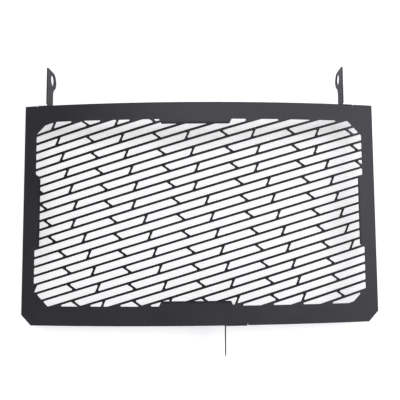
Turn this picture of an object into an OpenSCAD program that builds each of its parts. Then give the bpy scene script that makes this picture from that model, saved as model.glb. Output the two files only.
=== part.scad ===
// Motorcycle radiator guard: one laser-cut sheet, gently bowed and folded into three brackets.
// X runs to the right, Y to the back and Z up, and the front face looks along -Y.
// Flat places are [along the bow, up] from the middle of the sheet, before it is bowed.

/* [Sheet] */
// Width of the sheet, measured along its bow
sheet_w = 350; // [320:1:400]
// Height of the sheet
sheet_h = 215; // [190:1:250]
// Thickness of the sheet
sheet_t = 1.2; // [0.8:0.1:2]
// Radius of the bow at the front face
bow_r = 944; // [700:1:2000]
// Size of the cut-off lower corners
corner_cut = 10; // [4:0.5:16]
// Middle of the brackets and thick stretches, to the right of the sheet's middle
layout_x = -4; // [-8:0.1:8]

/* [Window] */
// Border beside the window
side_border = 12.2; // [8:0.1:16]
// Border above the window
top_border = 16.5; // [12:0.1:22]
// Border below the window
bottom_border = 18.3; // [12:0.1:24]
// Size of the window's cut-off corners
window_cut = 14.5; // [6:0.5:24]
// Size of the cut-off upper left corner
window_cut_small = 12; // [6:0.5:24]
// Length of the thick stretch in the middle of each border
thick_l = 71; // [40:1:90]
// How far a thick stretch reaches into the window
thick_in = 4.8; // [2:0.1:8]
// Slant at each end of a thick stretch
thick_slant = 2.5; // [0.5:0.1:5]

/* [Lattice] */
// Slope of the bars, in degrees
bar_slope = 16.5; // [10:0.5:25]
// Distance from bar to bar
bar_pitch = 8.28; // [6:0.02:12]
// Width of a bar
bar_w = 2.2; // [1.5:0.1:3]
// Height of the middle bar above the sheet's middle
bar_rise = 4.8; // [0:0.1:8]
// Width of the ties that join two bars
tie_w = 2; // [1.5:0.1:3]
// Angle between a tie and the bars, in degrees
tie_lean = 50; // [40:1:70]
// Distance between ties that lean forward
forward_pitch = 62; // [50:0.5:75]
// Place of the first tie that leans forward, along its bar
forward_start = 9.8; // [0:0.1:30]
// Distance between ties that lean back
back_pitch = 63.5; // [50:0.5:75]
// Place of the first tie that leans back, along its bar
back_start = -18.9; // [-30:0.1:0]
// Row whose ties are set off to the left
offset_row = 2; // [-10:2:10]
// How far that row is set off
row_offset = 6.9; // [0:0.1:12]
// Lowest row with a tie near the window's right side
right_tie_row = -6; // [-12:2:0]
// How far the last ties at the left are set inwards, below the middle
left_inset = 6.5; // [0:0.1:10]
// How far the last ties at the right are set inwards
right_inset = 5; // [0:0.1:10]
// Radius in the corners of a slot
slot_r = 0.8; // [0.2:0.1:1.2]
// Smallest area that is cut as a slot
slot_min = 9; // [2:1:40]

/* [Folds] */
// Radius inside a fold
fold_r = 1; // [0.5:0.1:2]
// How far a bracket's root stands past the edge of the sheet
root_rise = 0.8; // [0.2:0.1:1.5]
// Width of the relief cut beside a root
relief_w = 0.6; // [0.4:0.1:2]
// Radius at the free corners of a root
root_corner_r = 3; // [1:0.5:5]

/* [Ears] */
// Distance from the sheet's side edge to an ear's outer face, with the layout in the middle
ear_inset = 25.6; // [18:0.1:60]
// Height of an ear above the edge of the sheet
ear_h = 39.2; // [34:0.1:50]
// Depth of an ear's stem
ear_stem = 17.4; // [14:0.1:22]
// Depth of an ear's head
ear_head = 27.2; // [25:0.1:32]
// Radius of the round back of the head
ear_head_r = 8.6; // [6:0.1:10]
// Radius at the front corner of the head
ear_front_r = 1.5; // [0.5:0.5:4]
// Width of an ear's root along the edge
ear_root_w = 9; // [6:0.5:14]
// Drop from the top of an ear to its hole
ear_hole_drop = 8.7; // [8:0.1:14]
// Distance from the back of the left ear's head to its hole
ear_hole_back = 11.4; // [10:0.1:16]
// Diameter of the holes, for an M10 bolt
hole_d = 11; // [6:0.1:12]

/* [Lower tab] */
// Place of the tab's outer face, to the right of the layout's middle
tab_x = 27.9; // [-100:0.1:100]
// Reach of the tab below the edge of the sheet
tab_h = 29.8; // [22:0.1:50]
// Depth of the tab, whose end is round
tab_w = 18; // [16:0.5:24]
// Width of the tab's root along the edge
tab_root_w = 20.4; // [10:0.1:40]
// Turn of the tab from square, in degrees
tab_turn = 1.8; // [-6:0.1:6]

/* [Hidden] */
colour = "#2f2f32";
bow_fn = 240;
arc_fn = 48;
corner_steps = 2;
arc_overlap = 0.01;
half_w = sheet_w / 2;
half_h = sheet_h / 2;
window_l = side_border - half_w;
window_r = half_w - side_border;
window_t = half_h - top_border;
window_b = bottom_border - half_h;
window_mid = (window_t + window_b) / 2;
edge_x = bowed([half_w, 0]).x;
ear_left = layout_x - edge_x + ear_inset;
ear_right = layout_x + edge_x - ear_inset;
ear_hole_y = ear_head - ear_hole_back;
ear_hole_h = ear_h - ear_hole_drop;
tab_left = layout_x + tab_x;
fold_out = fold_r + sheet_t;
fold_z = half_h + root_rise - fold_out;
shelf_z = half_h + root_rise;
bow_end = bow_r - sqrt(bow_r * bow_r - half_w * half_w);
reach_y = bow_end + ear_head + 10;

// Places in the lattice are [along the bars, across them], turned by the bars' slope
tie_half = tie_w / 2 / sin(tie_lean);
slot_h = bar_pitch - bar_w;
rows = ceil((sheet_w + sheet_h) / 2 / bar_pitch);
columns = ceil((sheet_w + sheet_h) / 2 / min(forward_pitch, back_pitch));
last_forward = floor((window_r / cos(bar_slope) - forward_start) / forward_pitch);
left_column = round((window_l / cos(bar_slope) - back_start) / back_pitch);
right_column = round((window_r / cos(bar_slope) - back_start) / back_pitch);

// A flat place on the sheet as [x, z] on the bowed one
function bowed(p) = [bow_r * sin(p.x / bow_r * 180 / PI), p.y];

// Depth of the bowed front face at a place across the sheet
function bow_y(x) = bow_r - sqrt(bow_r * bow_r - x * x);

function turned(p, a) = [p.x * cos(a) - p.y * sin(a), p.x * sin(a) + p.y * cos(a)];

function area(p) = abs(sum_list([for (i = [0:len(p) - 1]) cross(p[i], p[(i + 1) % len(p)])])) / 2;

function sum_list(v) = v * [for (i = v) 1];

// What is left of a polygon on the side of a line away from its normal
function clip(p, at, normal) = [
  for (i = [0:1:len(p) - 1])
    let (
      a = p[i],
      b = p[(i + 1) % len(p)],
      da = (a - at) * normal,
      db = (b - at) * normal
    )
    each concat(da <= 0 ? [a] : [], da * db < 0 ? [a + (b - a) * da / (da - db)] : [])
];

function clip_all(p, lines, i = 0) =
  i == len(lines) || len(p) < 3 ? p : clip_all(clip(p, lines[i][0], lines[i][1]), lines, i + 1);

// The window is a rectangle with its corners cut off
cut_mid = window_cut / 2;
small_mid = window_cut_small / 2;
window_lines = [
  [[window_r, 0], [1, 0]],
  [[window_l, 0], [-1, 0]],
  [[0, window_t], [0, 1]],
  [[0, window_b], [0, -1]],
  [[window_r - cut_mid, window_t - cut_mid], [1, 1]],
  [[window_l + small_mid, window_t - small_mid], [-1, 1]],
  [[window_l + cut_mid, window_b + cut_mid], [-1, -1]],
  [[window_r - cut_mid, window_b + cut_mid], [1, -1]],
];

// One corner of a polygon as an arc that keeps to the middle of its sides
function rounded_corner(a, b, c, r) =
  let (
    ua = (a - b) / norm(a - b),
    uc = (c - b) / norm(c - b),
    half = acos(max(-1, min(1, ua * uc))) / 2,
    length = min(r / tan(half), 0.45 * min(norm(a - b), norm(c - b))),
    middle = b + (ua + uc) / norm(ua + uc) * length / cos(half),
    from = b + ua * length - middle,
    to = b + uc * length - middle,
    sweep = 180 - 2 * half,
    way = sign(cross(from, to))
  )
  [for (i = [0:corner_steps]) middle + turned(from, way * sweep * i / corner_steps)];

function rounded(p, r) = [
  for (i = [0:len(p) - 1])
    each rounded_corner(p[(i + len(p) - 1) % len(p)], p[i], p[(i + 1) % len(p)], r)
];

// Ties in rows with an even number lean forward, the others back
function leans_forward(row) = row % 2 == 0;

// Place of a tie along its bar
function tie_place(row, column) =
  leans_forward(row)
    ? forward_start + (column + (column == last_forward && row < right_tie_row ? 1 : 0)) * forward_pitch
      - (row == offset_row ? row_offset : 0)
    : back_start + column * back_pitch
      + (column == left_column && row < 0 ? left_inset : 0)
      - (column == right_column ? right_inset : 0);

// A slot's four corners, between a tie and the next one
function slot(row, column) =
  let (
    lean = slot_h / 2 / tan(tie_lean) * (leans_forward(row) ? 1 : -1),
    low = bar_rise + row * bar_pitch + bar_w / 2,
    left = tie_place(row, column) + tie_half,
    right = tie_place(row, column + 1) - tie_half,
    high = low + slot_h
  )
  [
    for (p = [[left - lean, low], [right - lean, low], [right + lean, high], [left + lean, high]])
      turned(p, bar_slope)
  ];

slots = [
  for (row = [-rows:rows])
    for (column = [-columns:columns])
      let (p = clip_all(slot(row, column), window_lines))
      if (len(p) > 2 && area(p) > slot_min) [for (q = rounded(p, slot_r)) bowed(q)]
];

// A border's thick stretch, drawn along X with its border below
module thick_stretch() {
  foot = thick_l / 2;
  polygon([
    [-foot, -1],
    [foot, -1],
    [foot, 0],
    [foot - thick_slant, thick_in],
    [thick_slant - foot, thick_in],
    [-foot, 0],
  ]);
}

module thick_stretches() {
  translate([layout_x, window_b]) thick_stretch();
  translate([layout_x, window_t]) mirror([0, 1]) thick_stretch();
  translate([bowed([window_l, 0]).x, window_mid]) rotate(-90) thick_stretch();
  translate([bowed([window_r, 0]).x, window_mid]) rotate(90) thick_stretch();
}

module outline() {
  edge = [
    [-half_w, half_h],
    [-half_w, corner_cut - half_h],
    [corner_cut - half_w, -half_h],
    [half_w - corner_cut, -half_h],
    [half_w, corner_cut - half_h],
    [half_w, half_h],
  ];
  polygon([for (p = edge) bowed(p)]);
}

// The edge is cut away for a root and the relief cuts beside it
module root_gap(x0, x1) {
  translate([x0 - relief_w, fold_z]) square([x1 - x0 + 2 * relief_w, fold_out + 1]);
}

module face() {
  difference() {
    outline();
    for (s = slots) polygon(s);
    root_gap(ear_left - ear_root_w, ear_left - fold_r);
    root_gap(ear_right + fold_r, ear_right + ear_root_w);
    mirror([0, 1]) root_gap(tab_left + fold_r, tab_left + tab_root_w);
  }
  thick_stretches();
}

// The flat face is pushed through a shell of the bow's radius
module sheet() {
  intersection() {
    translate([0, bow_r, -sheet_h]) difference() {
      cylinder(h = 2 * sheet_h, r = bow_r, $fn = bow_fn);
      translate([0, 0, -1]) cylinder(h = 2 * sheet_h + 2, r = bow_r - sheet_t, $fn = bow_fn);
    }
    translate([0, reach_y, 0]) rotate([90, 0, 0]) linear_extrude(reach_y + 1) face();
  }
}

module quarter_ring() {
  intersection() {
    difference() {
      circle(fold_out, $fn = arc_fn);
      circle(fold_r, $fn = arc_fn);
    }
    square(fold_out + 1);
  }
}

// Section through a root: the sheet's edge turns back into a flat shelf
module root_section() {
  shelf = reach_y - fold_out;
  translate([bow_r - fold_out, fold_z]) {
    translate([fold_r, -1]) square([sheet_t, 1]);
    quarter_ring();
    translate([-shelf, fold_r]) square([shelf, sheet_t]);
  }
}

// A root from above, with the flap's outer face at x = 0
module root_plan(width, depth) {
  difference() {
    translate([-width, -fold_out]) square([width - fold_r, depth + fold_out]);
    translate([root_corner_r - width, depth - root_corner_r]) difference() {
      translate([-root_corner_r - 1, 0]) square(root_corner_r + 1);
      circle(root_corner_r, $fn = arc_fn);
    }
  }
}

// Section along a root: the shelf's side turns up into the flap
module flap_section(height) {
  translate([-fold_r - 2, -fold_out]) square([2, sheet_t]);
  translate([-fold_r, 0]) mirror([0, 1]) quarter_ring();
  square([sheet_t, height]);
}

// A bracket at the top edge: its root folds back from the sheet and its flap folds up from the root.
// The flap's side view is the child, as [depth behind the front face, height above the sheet's edge].
module bracket(x, root_w, depth, height, turn = 0) {
  flap_z = shelf_z + fold_r;
  stem_y = fold_out + relief_w;
  intersection() {
    translate([0, bow_r, 0]) rotate_extrude($fn = bow_fn) root_section();
    translate([x, bow_y(x), fold_z - 1]) rotate(turn) linear_extrude(fold_out + 2) root_plan(root_w, depth);
  }
  translate([x, bow_y(x), 0]) rotate(turn) intersection() {
    translate([0, reach_y, flap_z]) rotate([90, 0, 0]) linear_extrude(reach_y) flap_section(height);
    translate([-root_w, 0, half_h]) rotate([90, 0, 90]) linear_extrude(root_w + fold_out) union() {
      children();
      translate([stem_y, root_rise - sheet_t]) square([depth - stem_y, fold_out + 1]);
    }
  }
}

// An ear seen from its side: below the round head, a hollow of the same radius leads into the stem.
// The two arcs overlap a little, so that they cross cleanly. Both ears' holes lie on one axis.
module ear_outline(x) {
  hole_y = bow_y(ear_left) - bow_y(x) + ear_hole_y;
  head = [ear_head - ear_head_r, ear_h - ear_head_r];
  hollow_y = ear_stem + ear_head_r;
  reach = 2 * ear_head_r - arc_overlap;
  hollow = [hollow_y, head.y - sqrt(reach * reach - (hollow_y - head.x) * (hollow_y - head.x))];
  low = root_rise + fold_r;
  difference() {
    union() {
      translate([0, low]) square([ear_stem, head.y - low]);
      translate([0, head.y]) square([head.x, ear_head_r]);
      translate(head) circle(ear_head_r, $fn = arc_fn);
      difference() {
        polygon([[ear_stem - 1, hollow.y], hollow, head, [ear_stem - 1, head.y]]);
        translate(hollow) circle(ear_head_r, $fn = arc_fn);
      }
    }
    translate([ear_front_r, ear_h - ear_front_r]) difference() {
      translate([-ear_front_r - 1, 0]) square(ear_front_r + 1);
      circle(ear_front_r, $fn = arc_fn);
    }
    translate([hole_y, ear_hole_h]) circle(d = hole_d, $fn = arc_fn);
  }
}

module tab_outline() {
  end_r = tab_w / 2;
  low = root_rise + fold_r;
  difference() {
    union() {
      translate([0, low]) square([tab_w, tab_h - end_r - low]);
      translate([end_r, tab_h - end_r]) circle(end_r, $fn = arc_fn);
    }
    translate([end_r, tab_h - end_r]) circle(d = hole_d, $fn = arc_fn);
  }
}

// The origin lies in the hole of the left ear, in the middle of its wall
module guard_sheet() {
  bore = [ear_left + sheet_t / 2, bow_y(ear_left) + ear_hole_y, half_h + ear_hole_h];
  color(colour) translate(-bore) union() {
    sheet();
    bracket(ear_left, ear_root_w, ear_stem, ear_h) ear_outline(ear_left);
    mirror([1, 0, 0]) bracket(-ear_right, ear_root_w, ear_stem, ear_h) ear_outline(ear_right);
    mirror([1, 0, 0]) mirror([0, 0, 1]) bracket(-tab_left, tab_root_w, tab_w, tab_h, tab_turn) tab_outline();
  }
}

guard_sheet();
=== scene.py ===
"""Looks for a motorcycle radiator guard: one steel sheet, laser-cut, bowed, folded and powder-coated black.

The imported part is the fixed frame, in metres, with +X to the right, +Y to the back and +Z up.
"""

import math

import bpy
import numpy as np
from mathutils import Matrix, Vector


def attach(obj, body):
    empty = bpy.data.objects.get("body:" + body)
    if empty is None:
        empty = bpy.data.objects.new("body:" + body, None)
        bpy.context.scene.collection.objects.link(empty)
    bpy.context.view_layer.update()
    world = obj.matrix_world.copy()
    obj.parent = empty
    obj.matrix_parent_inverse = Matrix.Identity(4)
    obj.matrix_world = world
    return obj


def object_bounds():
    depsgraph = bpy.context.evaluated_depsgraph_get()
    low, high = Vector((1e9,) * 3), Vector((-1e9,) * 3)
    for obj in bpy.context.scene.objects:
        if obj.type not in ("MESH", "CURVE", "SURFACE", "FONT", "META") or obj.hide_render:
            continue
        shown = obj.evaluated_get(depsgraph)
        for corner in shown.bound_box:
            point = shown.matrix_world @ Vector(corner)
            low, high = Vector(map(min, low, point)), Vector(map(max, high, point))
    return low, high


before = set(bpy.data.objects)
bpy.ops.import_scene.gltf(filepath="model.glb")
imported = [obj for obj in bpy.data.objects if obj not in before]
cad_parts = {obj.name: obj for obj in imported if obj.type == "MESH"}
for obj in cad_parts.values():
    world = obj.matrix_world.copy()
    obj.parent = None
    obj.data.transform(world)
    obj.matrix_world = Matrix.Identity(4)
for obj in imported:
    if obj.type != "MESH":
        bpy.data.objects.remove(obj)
cad_low, cad_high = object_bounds()

MM = 0.001

# Camera: place from the frame's origin, turn in degrees from looking straight down, and the pixel on its axis
CAMERA_AT_MM = (162.24, -506.75, -165.01)
CAMERA_TURN = (94.518, 0.506, -1.074)
LENS_MM = 45
SENSOR_MM = 36
IMAGE_PX = 400
AXIS_PX = (220.5, 200.5)

# Lamps: name, place, width and height, and power in watts; both look at the middle of the guard
LAMP_AIM_MM = (150, -20, -130)
LAMPS = (
    ("lamp_front", (110, -1500, 420), (900, 700), 6.4),
    ("lamp_right", (1100, -1200, 100), (900, 900), 7.0),
)
ROOM_LIGHT = 0.4
PAPER_LIFT = 0.44

# Backdrop: a pale wall close behind the ears, which bends into a floor below the tab
WALL_GAP_MM = 3
FLOOR_DROP_MM = 130
WALL_TOP_MM = 700
WALL_HALF_MM = 1100
FLOOR_FRONT_MM = 1300
COVE_RADIUS_MM = 90
COVE_STEPS = 16

# Sheet: middle of its front face from the frame's origin, radius of its bow and thickness
SHEET_MIDDLE_MM = (151.799, -28.183, -138.0)
BOW_MM = 944
SHEET_MM = 1.2

# Window that holds the lattice: its middle, half its width and height, and the cut at its corners
WINDOW_MIDDLE_MM = (151.8, 0, -137.1)
WINDOW_HALF_MM = (159.5, 0, 88)
WINDOW_CORNER_MM = 19

# Lattice: places are along the bars and across them, from the sheet's middle and turned by the bars' slope
BAR_SLOPE = math.radians(16.5)
BAR_PITCH_MM = 8.28
BAR_MM = 2.2
BAR_RISE_MM = 4.8
TIE_MM = 2
TIE_LEAN = math.radians(50)
SLOT_FILLET_MM = 0.8
FILLET_STEPS = 6
LAST_TIE_MM = 133.8
TIE_ROWS = (-8, -10)
TIE_TUCK_MM = 0.6
TIE_BELOW_FACE_MM = 0.15


def linear(code):
    """An sRGB hex colour as linear RGBA."""
    srgb = np.array([int(code[i:i + 2], 16) for i in (1, 3, 5)]) / 255
    rgb = np.where(srgb <= 0.04045, srgb / 12.92, ((srgb + 0.055) / 1.055) ** 2.4)
    return (*rgb.tolist(), 1.0)


def add_node(tree, kind, inputs=None, **settings):
    """Adds a node with its settings. Each input, by name or place, takes a value or a link from a socket."""
    node = tree.nodes.new(kind)
    for name, value in settings.items():
        setattr(node, name, value)
    for name, value in (inputs or {}).items():
        if isinstance(value, bpy.types.NodeSocket):
            tree.links.new(value, node.inputs[name])
        else:
            node.inputs[name].default_value = value
    return node


def new_material(name):
    """An empty node material and its tree."""
    material = bpy.data.materials.new(name)
    material.use_nodes = True
    material.node_tree.nodes.clear()
    return material, material.node_tree


def painted_bar_shade_mask(tree, place):
    """A socket that is 0 on the border and 1 on the bars, with a soft step at the window's outline; it places
    the painted shade on the bars.

    With x and z as the distances past the window's sides, it reads the largest of x, z and x + z + corner,
    which is 0 on the outline and below 0 in the window.
    """
    fade_mm = 2.5
    middle, half = np.array(WINDOW_MIDDLE_MM) * MM, np.array(WINDOW_HALF_MM) * MM
    off_middle = add_node(tree, "ShaderNodeVectorMath", {0: place, 1: middle}, operation="SUBTRACT")
    either_side = add_node(tree, "ShaderNodeVectorMath", {0: off_middle.outputs[0]}, operation="ABSOLUTE")
    past_side = add_node(
        tree, "ShaderNodeVectorMath", {0: either_side.outputs[0], 1: half}, operation="SUBTRACT"
    )
    past = add_node(tree, "ShaderNodeSeparateXYZ", {"Vector": past_side.outputs[0]}).outputs
    farther = add_node(tree, "ShaderNodeMath", {0: past["X"], 1: past["Z"]}, operation="MAXIMUM")
    both = add_node(tree, "ShaderNodeMath", {0: past["X"], 1: past["Z"]}, operation="ADD")
    corner = WINDOW_CORNER_MM * MM
    past_corner = add_node(tree, "ShaderNodeMath", {0: both.outputs[0], 1: corner}, operation="ADD")
    distances = {0: farther.outputs[0], 1: past_corner.outputs[0]}
    farthest = add_node(tree, "ShaderNodeMath", distances, operation="MAXIMUM")
    step = {"Value": farthest.outputs[0], "From Min": 0.0, "From Max": -fade_mm * MM}
    return add_node(tree, "ShaderNodeMapRange", step).outputs["Result"]


def satin_black_powder_coat():
    """Polyester powder coat, baked on steel: near black, satin, with a faint orange peel.

    The eye sees a soft broad highlight with a cool tint to its reflections, edges that the film has rounded,
    and painted shade on the narrow bars, whose reflections are tinted darker so that they look darker than
    the border.
    """
    peel_mm = 1.6
    peel_depth_mm = 0.05
    cloud_mm = 45
    edge_mm = 0.45
    material, tree = new_material("satin_black_powder_coat")
    place = add_node(tree, "ShaderNodeTexCoord").outputs["Object"]
    peel = add_node(
        tree,
        "ShaderNodeTexNoise",
        {"Vector": place, "Scale": 1 / (peel_mm * MM), "Detail": 2.0, "Roughness": 0.5},
    )
    cloud = add_node(
        tree, "ShaderNodeTexNoise", {"Vector": place, "Scale": 1 / (cloud_mm * MM), "Detail": 3.0}
    )
    tone = add_node(tree, "ShaderNodeValToRGB", {"Fac": cloud.outputs["Fac"]})
    for stop, at, code in zip(tone.color_ramp.elements, (0.3, 0.7), ("#19191b", "#232326")):
        stop.position, stop.color = at, linear(code)
    gloss = add_node(
        tree, "ShaderNodeMapRange", {"Value": cloud.outputs["Fac"], "To Min": 0.38, "To Max": 0.52}
    )
    # Painted shade: the reflections' tint falls from #f3f0ff on the border to #a19fa8 on the bars, which
    # makes the bars look darker.
    reflection_tint_with_painted_bar_shade = add_node(tree, "ShaderNodeValToRGB", {"Fac": painted_bar_shade_mask(tree, place)})
    for stop, code in zip(reflection_tint_with_painted_bar_shade.color_ramp.elements, ("#f3f0ff", "#a19fa8")):
        stop.color = linear(code)
    edge = add_node(tree, "ShaderNodeBevel", {"Radius": edge_mm * MM}, samples=6)
    bump = add_node(
        tree,
        "ShaderNodeBump",
        {
            "Height": peel.outputs["Fac"],
            "Normal": edge.outputs["Normal"],
            "Strength": 0.35,
            "Distance": peel_depth_mm * MM,
        },
    )
    coat = add_node(
        tree,
        "ShaderNodeBsdfPrincipled",
        {
            "Base Color": tone.outputs["Color"],
            "Metallic": 0.0,
            "Roughness": gloss.outputs["Result"],
            "IOR": 1.5,
            "Specular Tint": reflection_tint_with_painted_bar_shade.outputs["Color"],
            "Normal": bump.outputs["Normal"],
        },
    )
    add_node(tree, "ShaderNodeOutputMaterial", {"Surface": coat.outputs["BSDF"]})
    return material


def white_paper():
    """Matt white backdrop paper, which the camera sees as white and which keeps the guard's soft shadow.

    It can't be seen from behind, so the guard's back shows in the views that look from there.
    """
    material, tree = new_material("white_backdrop_paper")
    camera_ray = add_node(tree, "ShaderNodeLightPath").outputs["Is Camera Ray"]
    from_behind = add_node(tree, "ShaderNodeNewGeometry").outputs["Backfacing"]
    paper = add_node(tree, "ShaderNodeBsdfDiffuse", {"Color": linear("#f4f4f6")})
    lift = add_node(tree, "ShaderNodeMath", {0: camera_ray, 1: PAPER_LIFT}, operation="MULTIPLY")
    glow = add_node(tree, "ShaderNodeEmission", {"Strength": lift.outputs[0]})
    lit = add_node(tree, "ShaderNodeAddShader", {0: paper.outputs[0], 1: glow.outputs[0]})
    clear = add_node(tree, "ShaderNodeBsdfTransparent")
    hidden = add_node(tree, "ShaderNodeMath", {0: camera_ray, 1: from_behind}, operation="MULTIPLY")
    sides = {0: hidden.outputs[0], 1: lit.outputs[0], 2: clear.outputs[0]}
    seen = add_node(tree, "ShaderNodeMixShader", sides)
    add_node(tree, "ShaderNodeOutputMaterial", {"Surface": seen.outputs[0]})
    return material


def grid_mesh(name, points, tube=False):
    """A mesh from an array of rows by columns by 3; a tube is closed round and at both ends."""
    rows, columns = points.shape[:2]
    at = np.arange(rows * columns).reshape(rows, columns)
    ring = np.hstack([at, at[:, :1]]) if tube else at
    corners = (ring[:-1, :-1], ring[:-1, 1:], ring[1:, 1:], ring[1:, :-1])
    faces = np.stack(corners, axis=-1).reshape(-1, 4).tolist()
    if tube:
        faces += [at[0, ::-1].tolist(), at[-1].tolist()]
    mesh = bpy.data.meshes.new(name)
    mesh.from_pydata(points.reshape(-1, 3).tolist(), [], faces)
    thing = bpy.data.objects.new(name, mesh)
    bpy.context.scene.collection.objects.link(thing)
    return thing


def lattice_tie(row, coat):
    """A tie that leans forward between two bars: a rectangle carried along a leaning line across a slot.

    Nearer to a bar than the fillet r, at a distance d, its half width grows by r - sqrt(r^2 - (r - d)^2).
    Its ends are tucked into the bars and its faces lie just below the sheet's. The flat place is turned by
    the bars' slope, wrapped round the bow and pushed back through the sheet.
    """
    slot = BAR_PITCH_MM - BAR_MM
    fillet = np.linspace(0, SLOT_FILLET_MM, FILLET_STEPS + 1)
    across = np.concatenate([[-TIE_TUCK_MM], fillet, slot - fillet[::-1], [slot + TIE_TUCK_MM]])
    near = np.clip(np.minimum(across, slot - across), 0, SLOT_FILLET_MM)
    flare = SLOT_FILLET_MM - np.sqrt(SLOT_FILLET_MM**2 - (SLOT_FILLET_MM - near) ** 2)
    half = TIE_MM / 2 / math.sin(TIE_LEAN) + flare
    middle = LAST_TIE_MM + (across - slot / 2) / math.tan(TIE_LEAN)
    rise = BAR_RISE_MM + row * BAR_PITCH_MM + BAR_MM / 2 + across
    side, back = np.array([-1, 1, 1, -1]), np.array([0, 0, 1, 1])
    along = middle[:, None] + half[:, None] * side
    up = np.repeat(rise[:, None], len(side), axis=1)
    flat_x = along * math.cos(BAR_SLOPE) - up * math.sin(BAR_SLOPE)
    depth = TIE_BELOW_FACE_MM + back * (SHEET_MM - 2 * TIE_BELOW_FACE_MM)
    x = BOW_MM * np.sin(flat_x / BOW_MM)
    y = BOW_MM - np.sqrt((BOW_MM - depth) ** 2 - x**2)
    z = along * math.sin(BAR_SLOPE) + up * math.cos(BAR_SLOPE)
    points = (np.stack([x, y, z], axis=-1) + SHEET_MIDDLE_MM) * MM
    tie = grid_mesh(f"lattice_tie_{-row}", points, tube=True)
    tie.data.materials.append(coat)
    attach(tie, "root")


def backdrop():
    """A sheet of paper: straight across X, and in section a floor, a quarter circle and a wall."""
    wall_y = cad_high.y + WALL_GAP_MM * MM
    floor_z = cad_low.z - FLOOR_DROP_MM * MM
    middle_x = (cad_low.x + cad_high.x) / 2
    radius = COVE_RADIUS_MM * MM
    turn = np.linspace(0, math.pi / 2, COVE_STEPS + 1)
    bend_y = wall_y - radius + radius * np.sin(turn)
    bend_z = floor_z + radius - radius * np.cos(turn)
    bend = np.stack([bend_y, bend_z], axis=1)
    front = [[wall_y - FLOOR_FRONT_MM * MM, floor_z]]
    top = [[wall_y, cad_high.z + WALL_TOP_MM * MM]]
    section = np.concatenate([front, bend, top])
    points = np.empty((len(section), 2, 3))
    points[..., 0] = middle_x + np.array([-1, 1]) * WALL_HALF_MM * MM
    points[..., 1:] = section[:, None, :]
    paper = grid_mesh("backdrop", points)
    paper.data.shade_smooth()
    paper.data.materials.append(white_paper())


def softbox(name, at_mm, size_mm, power):
    """A rectangular lamp that looks at the middle of the guard."""
    lamp = bpy.data.lights.new(name, "AREA")
    lamp.shape = "RECTANGLE"
    lamp.size, lamp.size_y = (side * MM for side in size_mm)
    lamp.energy = power
    thing = bpy.data.objects.new(name, lamp)
    start, aim = np.array(at_mm) * MM, np.array(LAMP_AIM_MM) * MM
    thing.location = start
    thing.rotation_euler = Vector(aim - start).to_track_quat("-Z", "Y").to_euler()
    bpy.context.scene.collection.objects.link(thing)


def white_room():
    """Even light from all round, which the camera sees as white."""
    world = bpy.data.worlds.new("studio")
    world.use_nodes = True
    tree = world.node_tree
    tree.nodes.clear()
    camera_ray = add_node(tree, "ShaderNodeLightPath").outputs["Is Camera Ray"]
    white_paint = linear("#ffffff")
    light = add_node(tree, "ShaderNodeBackground", {"Color": white_paint, "Strength": ROOM_LIGHT})
    white = add_node(tree, "ShaderNodeBackground", {"Color": white_paint, "Strength": 1.0})
    seen = add_node(tree, "ShaderNodeMixShader", {0: camera_ray, 1: light.outputs[0], 2: white.outputs[0]})
    add_node(tree, "ShaderNodeOutputWorld", {"Surface": seen.outputs[0]})
    bpy.context.scene.world = world


def camera():
    """The photograph's view, from just below the sheet's middle; the shift puts the axis off the centre."""
    lens = bpy.data.cameras.new("camera")
    lens.lens = LENS_MM
    lens.sensor_width = SENSOR_MM
    lens.shift_x = (IMAGE_PX / 2 - AXIS_PX[0]) / IMAGE_PX
    lens.shift_y = (AXIS_PX[1] - IMAGE_PX / 2) / IMAGE_PX
    thing = bpy.data.objects.new("camera", lens)
    thing.location = np.array(CAMERA_AT_MM) * MM
    thing.rotation_euler = np.radians(CAMERA_TURN)
    bpy.context.scene.collection.objects.link(thing)
    bpy.context.scene.camera = thing


coat = satin_black_powder_coat()
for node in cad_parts.values():
    node.data.materials.clear()
    node.data.materials.append(coat)
for row in TIE_ROWS:
    lattice_tie(row, coat)

backdrop()
for lamp in LAMPS:
    softbox(*lamp)
white_room()
camera()
bpy.context.scene.view_settings.view_transform = "Standard"
